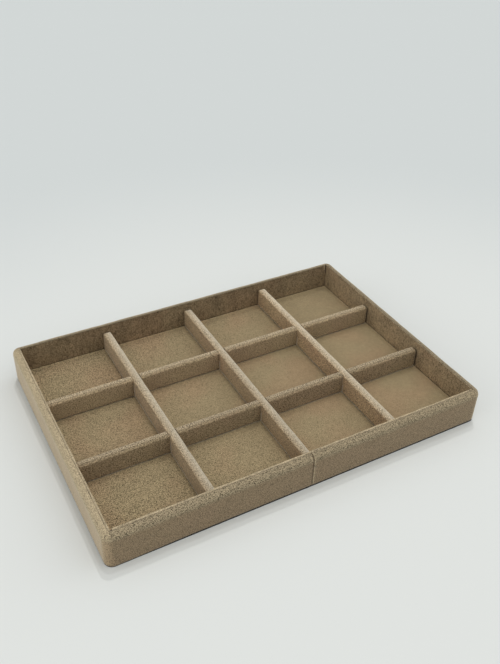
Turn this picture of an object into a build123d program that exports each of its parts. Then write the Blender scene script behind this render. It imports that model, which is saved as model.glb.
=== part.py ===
from build123d import *
import os

# Jewelry tray with a lift-out divider grid, in millimetres.
# Origin: centre of the underside. +X runs along the long side, +Y to the back, +Z up.
# The long wall at -Y is the front one and carries the seam of the outer cloth.

# Outside of the covered tray
tray_length = 350.0
tray_width = 246.0
tray_height = 33.5
corner_radius = 7.0
rim_radius = 5.0

# Cloths
outer_cloth = 0.6
lining_cloth = 0.6
divider_cloth = 0.6
floor_cloth = 0.6

# Carcass: a base board with four mitred rails standing on its edge
base_thickness = 3.0
rail_thickness = 4.5

# Outer cover: one strip round the outside, turned in under the base and over the rim
turn_in_width = 14.0
turn_down_depth = 9.0
seam_place = 0.0
seam_gap = 0.4

# Backing sheet glued over the turned-in cloth
backing_thickness = 2.0
backing_inset = 0.2

# Lining panels: a card with its cloth, glued inside each rail. The side ones run the full width
lining_card = 1.0
lining_end_clearance = 0.1

# Floor panel: a card with its cloth, laid between the lining panels
floor_card_thickness = 1.8
floor_edge_clearance = 0.3

# Divider grid: boards in their cloth, half-lapped where they cross
cross_divider_count = 3
long_divider_count = 2
divider_core_thickness = 6.4
divider_height = 18.7
divider_edge_radius = 1.8
slot_clearance = 0.25
cross_end_clearance = 0.6
long_end_clearance = 2.0
grid_seat_clearance = 0.2

# One overrun for every cut
overrun = 2.0

# Heights of the layers, from the surface that the tray stands on
cover_bottom = backing_thickness
base_bottom = cover_bottom + outer_cloth
base_top = base_bottom + base_thickness
floor_card_top = base_top + floor_card_thickness
floor_top = floor_card_top + floor_cloth
rail_top = tray_height - outer_cloth
grid_bottom = floor_top + grid_seat_clearance
grid_top = grid_bottom + divider_height
lap_height = (grid_bottom + grid_top) / 2

# Plan sizes of the layers, from the outside in
carcass_length = tray_length - 2 * outer_cloth
carcass_width = tray_width - 2 * outer_cloth
rail_inner_length = carcass_length - 2 * rail_thickness
rail_inner_width = carcass_width - 2 * rail_thickness
lined_length = rail_inner_length - 2 * outer_cloth
lined_width = rail_inner_width - 2 * outer_cloth
panel_thickness = lining_card + lining_cloth
clear_length = lined_length - 2 * panel_thickness
clear_width = lined_width - 2 * panel_thickness

# Rails in the order of the corners that they start from, anticlockwise
rail_sides = ("front", "right", "back", "left")

# Dividers, evenly spaced
divider_thickness = divider_core_thickness + 2 * divider_cloth
slot_width = divider_thickness + 2 * slot_clearance
cross_divider_length = clear_width - 2 * cross_end_clearance
long_divider_length = clear_length - 2 * long_end_clearance


def block(length, width, bottom, top, centre=(0, 0)):
    """A square-cornered block between two heights."""
    outline = Pos(centre[0], centre[1], bottom) * Rectangle(length, width)
    return extrude(outline, amount=top - bottom)


def rounded_block(length, width, bottom, top, radius):
    """A block whose upright edges are rounded."""
    outline = Pos(0, 0, bottom) * RectangleRounded(length, width, radius)
    return extrude(outline, amount=top - bottom)


def round_top(solid, radius):
    """Round the edge all round a solid's top face."""
    return fillet(solid.faces().sort_by(Axis.Z)[-1].edges(), radius)


def even_places(count, clear_size, thickness):
    """Centres of evenly spaced dividers across a clear size."""
    pitch = (clear_size + thickness) / (count + 1)
    return [pitch * (index - (count - 1) / 2) for index in range(count)]


def rectangle_corners(length, width):
    """The corners of a centred rectangle, anticlockwise from the front left."""
    half_length = length / 2
    half_width = width / 2
    return [
        (-half_length, -half_width),
        (half_length, -half_width),
        (half_length, half_width),
        (-half_length, half_width),
    ]


cross_places = even_places(cross_divider_count, clear_length, divider_thickness)
long_places = even_places(long_divider_count, clear_width, divider_thickness)


def make_base_board():
    """The board that the rails stand on."""
    return rounded_block(
        carcass_length, carcass_width, base_bottom, base_top, corner_radius - outer_cloth
    )


def make_rail_ring():
    """All four rails in one, before the mitres are cut."""
    outside = rounded_block(
        carcass_length, carcass_width, base_top, rail_top, corner_radius - outer_cloth
    )
    outside = round_top(outside, rim_radius - outer_cloth)
    inside = block(rail_inner_length, rail_inner_width, base_top - overrun, rail_top + overrun)
    return outside - inside


def mitre_wedge(side):
    """The upright prism between two mitre planes that holds one rail."""
    reach = rail_thickness + overrun
    outer = rectangle_corners(carcass_length, carcass_width)
    inner = rectangle_corners(carcass_length - 2 * reach, carcass_width - 2 * reach)
    first = rail_sides.index(side)
    second = (first + 1) % len(rail_sides)
    points = [outer[first], outer[second], inner[second], inner[first]]
    outline = Pos(0, 0, base_top - overrun) * make_face(Polyline(*points, close=True))
    return extrude(outline, amount=rail_top - base_top + 2 * overrun)


def make_outer_cover():
    """The cloth strip: turned in underneath, up the face, over the rim and down inside it."""
    skin = rounded_block(tray_length, tray_width, cover_bottom, tray_height, corner_radius)
    skin = round_top(skin, rim_radius)
    skin -= make_base_board()
    skin -= make_rail_ring()
    turn_down_foot = tray_height - turn_down_depth
    skin -= block(rail_inner_length, rail_inner_width, base_top, turn_down_foot)
    skin -= block(lined_length, lined_width, base_top, tray_height + overrun)
    skin -= block(
        tray_length - 2 * turn_in_width,
        tray_width - 2 * turn_in_width,
        cover_bottom - overrun,
        base_bottom + overrun,
    )
    front_depth = turn_in_width + overrun
    front_centre = -tray_width / 2 - overrun + front_depth / 2
    skin -= block(
        seam_gap, front_depth, cover_bottom - overrun, tray_height + overrun, (seam_place, front_centre)
    )
    return skin


def make_backing_sheet():
    """The sheet under the tray, short of the edge all round."""
    return rounded_block(
        tray_length - 2 * backing_inset,
        tray_width - 2 * backing_inset,
        0,
        backing_thickness,
        corner_radius - backing_inset,
    )


def make_long_lining(direction):
    """Card and cloth along the front (direction -1) or back (direction 1) rail."""
    card_length = clear_length - 2 * lining_end_clearance
    card_centre = direction * (lined_width - lining_card) / 2
    card = block(card_length, lining_card, base_top, tray_height - lining_cloth, (0, card_centre))
    panel_centre = direction * (lined_width - panel_thickness) / 2
    panel = block(card_length, panel_thickness, base_top, tray_height, (0, panel_centre))
    return card, panel - card


def make_side_lining(direction):
    """Card and cloth along the left (direction -1) or right (direction 1) rail."""
    card_length = lined_width - 2 * lining_end_clearance
    card_centre = direction * (lined_length - lining_card) / 2
    card = block(lining_card, card_length, base_top, tray_height - lining_cloth, (card_centre, 0))
    panel_centre = direction * (lined_length - panel_thickness) / 2
    panel = block(panel_thickness, card_length, base_top, tray_height, (panel_centre, 0))
    return card, panel - card


def make_floor_panel():
    """The floor card and the cloth over its top and edges."""
    panel_length = clear_length - 2 * floor_edge_clearance
    panel_width = clear_width - 2 * floor_edge_clearance
    card = block(
        panel_length - 2 * floor_cloth, panel_width - 2 * floor_cloth, base_top, floor_card_top
    )
    panel = block(panel_length, panel_width, base_top, floor_top)
    return card, panel - card


def divider_block(length, thickness, top, radius):
    """A plain divider along X, rounded along its top and down its ends."""
    plate = block(length, thickness, grid_bottom, top)
    upright = plate.edges().filter_by(Axis.Z)
    around_top = plate.faces().sort_by(Axis.Z)[-1].edges()
    return fillet(upright + around_top, radius)


def make_divider(length, slot_places, slot_bottom, slot_top):
    """The core and the cloth of one divider along X, with its half-lap slots."""
    core_length = length - 2 * divider_cloth
    core_top = grid_top - divider_cloth
    core = divider_block(
        core_length, divider_core_thickness, core_top, divider_edge_radius - divider_cloth
    )
    covered = divider_block(length, divider_thickness, grid_top, divider_edge_radius)
    cover = covered - core
    for place in slot_places:
        slot_depth = divider_thickness + 2 * overrun
        slot = block(slot_width, slot_depth, slot_bottom, slot_top, (place, 0))
        core -= slot
        cover -= slot
    return core, cover


def make_cross_divider(place):
    """A front-to-back divider, slotted from below."""
    # A divider is made along X and turned a quarter, so a slot's place changes sign
    slots = [-along for along in long_places]
    pieces = make_divider(cross_divider_length, slots, grid_bottom - overrun, lap_height)
    return [Pos(place, 0, 0) * Rot(0, 0, -90) * piece for piece in pieces]


def make_long_divider(place):
    """A left-to-right divider, slotted from above."""
    pieces = make_divider(long_divider_length, cross_places, lap_height, grid_top + overrun)
    return [Pos(0, place, 0) * piece for piece in pieces]


def collect_nodes():
    """Every node's name with its shape."""
    ring = make_rail_ring()
    nodes = {
        "backing_sheet": make_backing_sheet(),
        "base_board": make_base_board(),
        "outer_cover": make_outer_cover(),
    }
    for side in rail_sides:
        nodes[f"{side}_rail"] = ring & mitre_wedge(side)
    linings = {
        "front": make_long_lining(-1),
        "back": make_long_lining(1),
        "left": make_side_lining(-1),
        "right": make_side_lining(1),
    }
    for side, (card, cloth) in linings.items():
        nodes[f"{side}_lining_card"] = card
        nodes[f"{side}_lining_cover"] = cloth
    nodes["floor_card"], nodes["floor_cover"] = make_floor_panel()
    for number, place in enumerate(cross_places, start=1):
        core, cover = make_cross_divider(place)
        nodes[f"cross_divider_core_{number}"] = core
        nodes[f"cross_divider_cover_{number}"] = cover
    for number, place in enumerate(long_places, start=1):
        core, cover = make_long_divider(place)
        nodes[f"long_divider_core_{number}"] = core
        nodes[f"long_divider_cover_{number}"] = cover
    return nodes


os.makedirs("parts", exist_ok=True)
for name, shape in collect_nodes().items():
    export_step(shape, f"parts/{name}.step")
    print(f"{name}: {len(shape.solids())} solid, {shape.volume:.1f} cubic mm")
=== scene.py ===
"""A cloth-covered jewelry tray: its suede skins, its boards, a plain studio and the camera."""

import logging
import math
from dataclasses import dataclass
from enum import Enum

import bmesh
import bpy
import numpy as np
from mathutils import Matrix, Vector

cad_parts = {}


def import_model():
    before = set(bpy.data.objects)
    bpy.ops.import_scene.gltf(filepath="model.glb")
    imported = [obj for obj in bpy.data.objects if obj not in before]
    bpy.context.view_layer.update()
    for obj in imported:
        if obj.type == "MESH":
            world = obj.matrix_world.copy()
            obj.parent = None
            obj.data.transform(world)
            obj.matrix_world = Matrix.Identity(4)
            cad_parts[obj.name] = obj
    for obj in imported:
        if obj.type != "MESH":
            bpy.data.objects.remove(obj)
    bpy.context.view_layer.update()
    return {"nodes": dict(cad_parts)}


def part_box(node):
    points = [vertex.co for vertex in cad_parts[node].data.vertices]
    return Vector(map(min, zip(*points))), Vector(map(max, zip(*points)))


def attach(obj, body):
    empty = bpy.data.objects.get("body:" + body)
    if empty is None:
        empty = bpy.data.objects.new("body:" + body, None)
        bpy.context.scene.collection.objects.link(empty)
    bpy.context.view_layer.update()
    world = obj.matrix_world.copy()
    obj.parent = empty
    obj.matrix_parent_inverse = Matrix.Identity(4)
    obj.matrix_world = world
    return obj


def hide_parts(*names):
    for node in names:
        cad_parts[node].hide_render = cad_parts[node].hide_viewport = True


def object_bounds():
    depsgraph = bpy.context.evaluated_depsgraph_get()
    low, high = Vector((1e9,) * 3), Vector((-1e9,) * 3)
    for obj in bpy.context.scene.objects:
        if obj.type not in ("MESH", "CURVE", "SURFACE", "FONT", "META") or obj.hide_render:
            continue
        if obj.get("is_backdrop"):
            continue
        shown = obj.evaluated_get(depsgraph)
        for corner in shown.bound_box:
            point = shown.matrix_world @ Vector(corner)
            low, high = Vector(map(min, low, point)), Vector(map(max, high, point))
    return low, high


MM = 0.001
CLOTH_THICKNESS = 0.6 * MM
MERGE_DISTANCE = 0.004 * MM
LOG = logging.getLogger("jewelry_tray")

Colour = tuple[float, float, float]
Span = tuple[float, float]
Socket = bpy.types.NodeSocket


def linear(colour: Colour) -> tuple[float, float, float, float]:
    """Turn a colour as seen on a screen into the linear colour of a shader.

    The curve is the screen's own: a straight line for the darkest parts, and a power above.

    Args:
        colour: Red, green and blue from 0 to 255.

    Returns:
        The linear red, green and blue with an alpha of 1.
    """
    parts = np.asarray(colour) / 255.0
    low = parts / 12.92
    high = ((parts + 0.055) / 1.055) ** 2.4
    return (*np.where(parts <= 0.04045, low, high).tolist(), 1.0)


def soft_waves(x: np.ndarray, y: np.ndarray, size: float, seed: int) -> np.ndarray:
    """Work out smooth unevenness, mostly between -1 and 1.

    The height is the sum of twelve sine waves with random headings and phases, whose lengths
    spread around one size, divided by the root of twice their number.

    Args:
        x: First coordinate of each point.
        y: Second coordinate of each point.
        size: Usual distance from one rise to the next.
        seed: Picks one pattern among many.

    Returns:
        The height at each point.
    """
    count = 12
    shortest, longest = 0.7, 1.6
    rng = np.random.default_rng(seed)
    heading = rng.uniform(0, 2 * math.pi, count)
    length = size * rng.uniform(shortest, longest, count)
    phase = rng.uniform(0, 2 * math.pi, count)
    x, y = np.broadcast_arrays(x, y)
    travel = x[..., None] * np.cos(heading) + y[..., None] * np.sin(heading)
    waves = np.sin(2 * math.pi * travel / length + phase)
    return waves.sum(axis=-1) / math.sqrt(2 * count)


def smooth_step(value: np.ndarray, start: float, end: float) -> np.ndarray:
    """Rise from 0 at start to 1 at end along a smooth S, with no rise outside."""
    share = np.clip((value - start) / (end - start), 0, 1)
    return share * share * (3 - 2 * share)


@dataclass(frozen=True)
class Section:
    """The section of a skin: one row of points from its first edge to its last.

    Attributes:
        inset: How far each point lies in from the outside.
        height: How high each point lies.
    """

    inset: np.ndarray
    height: np.ndarray

    def travel(self) -> np.ndarray:
        """Give the distance along the section to each point."""
        steps = np.hypot(np.diff(self.inset), np.diff(self.height))
        return np.concatenate([[0], np.cumsum(steps)])

    def facing(self) -> tuple[np.ndarray, np.ndarray]:
        """Give the outward and upward parts of the direction that each point faces.

        The direction is the tangent turned by a quarter, so a rising face looks outwards.

        Returns:
            The outward part and the upward part.
        """
        outward = np.gradient(-self.inset)
        upward = np.gradient(self.height)
        size = np.hypot(outward, upward)
        return upward / size, -outward / size


def straight(start: Span, end: Span, steps: int) -> np.ndarray:
    """Give evenly spaced points from start to just before end, as rows of inset and height."""
    share = np.arange(steps)[:, None] / steps
    return np.asarray(start) * (1 - share) + np.asarray(end) * share


def bend(centre: Span, radii: Span, turn: Span, steps: int) -> np.ndarray:
    """Give points on part of an ellipse, from its first angle to just before its last.

    An angle of 0 degrees looks outwards and 90 degrees looks up. The point is the centre less
    the first radius times the cosine, and plus the second radius times the sine.

    Args:
        centre: Inset and height of the centre.
        radii: Radius along the inset and radius along the height.
        turn: First and last angle, in degrees.
        steps: How many points.

    Returns:
        Rows of inset and height.
    """
    angle = np.radians(turn[0] + (turn[1] - turn[0]) * np.arange(steps) / steps)
    inset = centre[0] - radii[0] * np.cos(angle)
    height = centre[1] + radii[1] * np.sin(angle)
    return np.column_stack([inset, height])


def join_section(*stretches: np.ndarray, end: Span) -> Section:
    """Join stretches of a section and close it with its last point."""
    rows = np.vstack([*stretches, np.asarray(end)[None, :]])
    return Section(rows[:, 0], rows[:, 1])


@dataclass(frozen=True)
class Outline:
    """A rounded rectangle seen from above, walked anticlockwise from the middle of its front.

    Attributes:
        half_length: Half its size along X.
        half_width: Half its size along Y.
        radius: Radius of its corners.
        step: Usual distance between two stations.
        corner_steps: Stations on each corner.
        extra: Places along X on the front and back that get a station of their own.
    """

    half_length: float
    half_width: float
    radius: float
    step: float
    corner_steps: int = 8
    extra: tuple[float, ...] = ()

    def side(self, half: float, places: tuple[float, ...] = ()) -> np.ndarray:
        """Spread stations along one side.

        Args:
            half: Half the outline's size along that side.
            places: Places that get a station of their own.

        Returns:
            The stations from -1 to 1, with both ends.
        """
        reach = half - self.radius
        count = max(2, int(round(2 * reach / self.step)) + 1)
        shares = [place / reach for place in places if abs(place) < reach]
        return np.unique(np.concatenate([np.linspace(-1, 1, count), shares]).round(9))

    def stations(self) -> tuple[np.ndarray, np.ndarray]:
        """Give each station's place on the corner centres' rectangle and its outward direction.

        A station's point is its place times that rectangle's half sizes, plus the radius times
        the direction. On a corner only the direction turns.

        Returns:
            Places and directions, each as rows of two.
        """
        front = self.side(self.half_length, self.extra)
        right = self.side(self.half_width)
        quarter = np.radians(90 * np.arange(1, self.corner_steps) / self.corner_steps)
        ahead = front[front > 0]
        before = front[front < 0]
        sides = [
            (ahead, -np.ones_like(ahead), -90),
            (np.ones_like(right), right, 0),
            (-front, np.ones_like(front), 90),
            (-np.ones_like(right), -right, 180),
            (before, -np.ones_like(before), 270),
        ]
        corners = [(1, -1, -90), (1, 1, 0), (-1, 1, 90), (-1, -1, 180)]
        places = []
        headings = []
        for index, (across, along, heading) in enumerate(sides):
            places.append(np.column_stack([across, along]))
            headings.append(np.full(len(across), math.radians(heading)))
            if index < len(corners):
                corner_x, corner_y, first = corners[index]
                places.append(np.tile([corner_x, corner_y], (len(quarter), 1)))
                headings.append(math.radians(first) + quarter)
        heading = np.concatenate(headings)
        return np.vstack(places), np.column_stack([np.cos(heading), np.sin(heading)])

    def skin(self, section: Section, lift: np.ndarray | float = 0.0) -> np.ndarray:
        """Carry a section round the outline.

        Further in than the corner radius, the corners are square and the points of a side that
        would pass its end stay at that end.

        Args:
            section: The section to carry.
            lift: How far each point of the grid is pushed out along its own direction.

        Returns:
            Points as stations by section points by three.
        """
        place, direction = self.stations()
        lift = np.broadcast_to(lift, (len(place), len(section.height)))
        outward, upward = section.facing()
        inset = section.inset - lift * outward
        height = section.height + lift * upward
        radius = np.maximum(self.radius - inset, 0)
        half = np.array([self.half_length, self.half_width])
        limit = half - np.maximum(inset, self.radius)[..., None]
        limit = np.maximum(limit, 0)
        plan = np.clip((place * (half - self.radius))[:, None, :], -limit, limit)
        plan = plan + radius[..., None] * direction[:, None, :]
        return np.dstack([plan, height])


def grid_faces(rows: int, columns: int, closed: bool) -> np.ndarray:
    """Number the corners of a grid's faces.

    Args:
        rows: Points along the first direction.
        columns: Points along the second direction.
        closed: Whether the last row joins the first.

    Returns:
        Corner numbers as face rows by face columns by four.
    """
    first = np.arange(rows if closed else rows - 1)
    following = (first + 1) % rows
    column = np.arange(columns - 1)
    near = first[:, None] * columns + column
    far = following[:, None] * columns + column
    return np.dstack([near, far, far + 1, near + 1])


def face_centres(points: np.ndarray, closed: bool) -> np.ndarray:
    """Give the middle of each face of a grid, in the faces' own rows and columns."""
    corners = grid_faces(*points.shape[:2], closed)
    return points.reshape(-1, 3)[corners].mean(axis=2)


class Skin:
    """A surface as a grid of points, on its way to becoming a mesh.

    Attributes:
        nap_and_highlight: Lighter colour, 0 to 1, where the nap stands up and where a highlight is
            painted.
        painted_shade: How much painted shade each point gets, from 0 to 1.
        painted_light: Painted light and shade: how much lighter than usual each point looks.
        calm: How much of the grain is missing.
        flat: Place of each point on the cloth before it was bent.
        keep: Which faces are kept.
    """

    MARKS = ("nap_and_highlight", "painted_shade", "painted_light", "calm")

    def __init__(self, name: str, points: np.ndarray, closed: bool = False) -> None:
        """Hold the grid.

        Args:
            name: Name of the piece.
            points: Points as rows by columns by three.
            closed: Whether the last row joins the first.
        """
        grid = points.shape[:2]
        self.name = name
        self.points = points
        self.closed = closed
        self.nap_and_highlight = np.zeros(grid)
        self.painted_shade = np.zeros(grid)
        self.painted_light = np.zeros(grid)
        self.calm = np.zeros(grid)
        self.flat = np.zeros((*grid, 2))
        self.keep = np.ones(grid_faces(*grid, closed).shape[:2], dtype=bool)

    def build(self) -> bpy.types.Object:
        """Turn the kept faces into an object with its flat layout and its marks.

        Points that share a place are merged and faces with no area go, so folded corners close.

        Returns:
            The object, linked to the scene.
        """
        grid = self.points.shape[:2]
        faces = grid_faces(*grid, self.closed)[self.keep]
        mesh = bpy.data.meshes.new(self.name)
        mesh.vertices.add(grid[0] * grid[1])
        mesh.vertices.foreach_set("co", self.points.astype(np.float32).ravel())
        mesh.loops.add(faces.size)
        mesh.loops.foreach_set("vertex_index", faces.astype(np.int32).ravel())
        mesh.polygons.add(len(faces))
        mesh.polygons.foreach_set("loop_start", np.arange(0, faces.size, 4, dtype=np.int32))
        mesh.update(calc_edges=True)
        layout = mesh.uv_layers.new(name="flat")
        corner_places = self.flat.reshape(-1, 2)[faces.ravel()]
        layout.data.foreach_set("uv", corner_places.astype(np.float32).ravel())
        for mark in self.MARKS:
            values = np.broadcast_to(getattr(self, mark), grid)
            attribute = mesh.attributes.new(mark, "FLOAT", "POINT")
            attribute.data.foreach_set("value", values.astype(np.float32).ravel())
        self.weld(mesh)
        mesh.polygons.foreach_set("use_smooth", np.ones(len(mesh.polygons), dtype=bool))
        mesh.validate()
        piece = bpy.data.objects.new(self.name, mesh)
        bpy.context.scene.collection.objects.link(piece)
        return piece

    @staticmethod
    def weld(mesh: bpy.types.Mesh) -> None:
        """Merge points that share a place, and drop points that no face uses.

        Args:
            mesh: The mesh to clean.
        """
        work = bmesh.new()
        work.from_mesh(mesh)
        loose = [point for point in work.verts if not point.link_faces]
        bmesh.ops.delete(work, geom=loose, context="VERTS")
        bmesh.ops.remove_doubles(work, verts=work.verts, dist=MERGE_DISTANCE)
        work.to_mesh(mesh)
        work.free()


class NodeBench:
    """Adds shader nodes to one tree in a few words."""

    def __init__(self, tree: bpy.types.NodeTree) -> None:
        """Hold the tree and clear it."""
        self.tree = tree
        self.tree.nodes.clear()

    def add(self, kind: str) -> bpy.types.Node:
        """Add a node of a kind, named as its type is after the words ShaderNode."""
        return self.tree.nodes.new(f"ShaderNode{kind}")

    def join(self, source: Socket, target: Socket) -> None:
        """Link one socket to another."""
        self.tree.links.new(source, target)

    def feed(self, target: Socket, value: Socket | float | tuple[float, ...]) -> None:
        """Link a value to a socket, or set the socket to a plain value.

        Args:
            target: The socket.
            value: The value, or a plain number or colour.
        """
        if isinstance(value, Socket):
            self.join(value, target)
        else:
            target.default_value = value

    def combine(self, operation: str, first: Socket, second: Socket | float) -> Socket:
        """Add, multiply or otherwise combine two values.

        Args:
            operation: What to do with them.
            first: First value.
            second: Second value, or a plain number.

        Returns:
            The result.
        """
        node = self.add("Math")
        node.operation = operation
        self.join(first, node.inputs[0])
        self.feed(node.inputs[1], second)
        return node.outputs["Value"]


@dataclass(frozen=True)
class Spots:
    """Noise of one size.

    Attributes:
        size: Usual size of a spot, in millimetres.
        detail: How many finer layers it has.
        rough: How strong the finer layers are.
    """

    size: float
    detail: float
    rough: float = 0.5


class SurfaceBench(NodeBench):
    """A bench for one material, with its shader and each point's place in millimetres."""

    # A Mix node has sockets for each kind of value under the same names. These are for colours.
    MIX_INPUTS = (6, 7)
    MIX_OUTPUT = 2

    def __init__(self, name: str) -> None:
        """Start a material that has only its shader.

        Args:
            name: Name of the material.
        """
        self.material = bpy.data.materials.new(name)
        self.material.use_nodes = True
        super().__init__(self.material.node_tree)
        self.shader = self.add("BsdfPrincipled")
        output = self.add("OutputMaterial")
        self.join(self.shader.outputs["BSDF"], output.inputs["Surface"])
        place = self.add("TexCoord")
        in_mm = self.add("VectorMath")
        in_mm.operation = "SCALE"
        in_mm.inputs["Scale"].default_value = 1 / MM
        self.join(place.outputs["Object"], in_mm.inputs[0])
        self.place = in_mm.outputs["Vector"]

    def set(self, values: dict[str, Socket | float | tuple[float, ...]]) -> None:
        """Link or set inputs of the shader, each under its own name."""
        for name, value in values.items():
            self.feed(self.shader.inputs[name], value)

    def stretch(self, factors: tuple[float, float, float]) -> Socket:
        """Multiply the place in millimetres by one factor for each direction.

        Args:
            factors: The factors. One under 1 draws a pattern out along its direction.

        Returns:
            The drawn-out place.
        """
        node = self.add("VectorMath")
        node.operation = "MULTIPLY"
        node.inputs[1].default_value = factors
        self.join(self.place, node.inputs[0])
        return node.outputs["Vector"]

    def noise(self, spots: Spots, place: Socket | None = None) -> Socket:
        """Add noise.

        Args:
            spots: Its spots.
            place: Where it is read, in millimetres, if not at the plain place.

        Returns:
            The noise's value, around a half.
        """
        node = self.add("TexNoise")
        node.inputs["Scale"].default_value = 1 / spots.size
        node.inputs["Detail"].default_value = spots.detail
        node.inputs["Roughness"].default_value = spots.rough
        self.join(place or self.place, node.inputs["Vector"])
        return node.outputs["Fac"]

    def specks(self, size: float, place: Socket) -> Socket:
        """Add specks of nap with gaps between them.

        Args:
            size: Usual distance between two specks, in millimetres.
            place: Where they are read, in millimetres.

        Returns:
            The distance from the nearest speck's middle, from 0 to about 1, usually a half.
        """
        node = self.add("TexVoronoi")
        node.inputs["Scale"].default_value = 1 / size
        self.join(place, node.inputs["Vector"])
        return node.outputs["Distance"]

    def spread(self, value: Socket, source: Span, target: Span = (0, 1)) -> Socket:
        """Map one span of values onto another along a smooth S, and hold the rest at its ends.

        Args:
            value: The value.
            source: Where the span starts and ends.
            target: What its start and its end become.

        Returns:
            The mapped value.
        """
        node = self.add("MapRange")
        node.interpolation_type = "SMOOTHSTEP"
        for word, span in (("From", source), ("To", target)):
            node.inputs[f"{word} Min"].default_value = span[0]
            node.inputs[f"{word} Max"].default_value = span[1]
        self.join(value, node.inputs["Value"])
        return node.outputs["Result"]

    def sway(self, value: Socket, gain: float) -> Socket:
        """Turn a noise around a half into a value around 0, times a gain.

        Args:
            value: The noise.
            gain: What its distance from a half is multiplied by.

        Returns:
            The value.
        """
        return self.combine("MULTIPLY", self.combine("SUBTRACT", value, 0.5), gain)

    def mix(self, style: str, factor: Socket | float, *colours: Socket | Colour) -> Socket:
        """Put two colours together.

        Args:
            style: How, such as MIX or MULTIPLY.
            factor: How far the second colour counts.
            colours: Both colours, each a socket or a colour from 0 to 255.

        Returns:
            The colour.
        """
        node = self.add("Mix")
        node.data_type = "RGBA"
        node.blend_type = style
        self.feed(node.inputs["Factor"], factor)
        for number, colour in zip(self.MIX_INPUTS, colours):
            ready = colour if isinstance(colour, Socket) else linear(colour)
            self.feed(node.inputs[number], ready)
        return node.outputs[self.MIX_OUTPUT]

    def attribute(self, name: str) -> Socket:
        """Read a value that the mesh carries.

        Args:
            name: Its name.

        Returns:
            The value.
        """
        node = self.add("Attribute")
        node.attribute_name = name
        return node.outputs["Fac"]

    def bump(self, height: Socket, depth: float, strength: float) -> None:
        """Raise the surface.

        Args:
            height: The height, from 0 to 1.
            depth: How far a height of 1 stands up.
            strength: How strongly it counts.
        """
        node = self.add("Bump")
        node.inputs["Strength"].default_value = strength
        node.inputs["Distance"].default_value = depth
        self.join(height, node.inputs["Height"])
        self.join(node.outputs["Normal"], self.shader.inputs["Normal"])


class Lay(Enum):
    """Which way the tufts of a suede are drawn out, as a factor for each direction."""

    EVEN = (1.0, 1.0, 1.0)
    ALONG_LENGTH = (0.8, 1.0, 1.0)
    ALONG_WIDTH = (1.0, 0.8, 1.0)
    UPRIGHT = (1.0, 1.0, 0.55)


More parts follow.
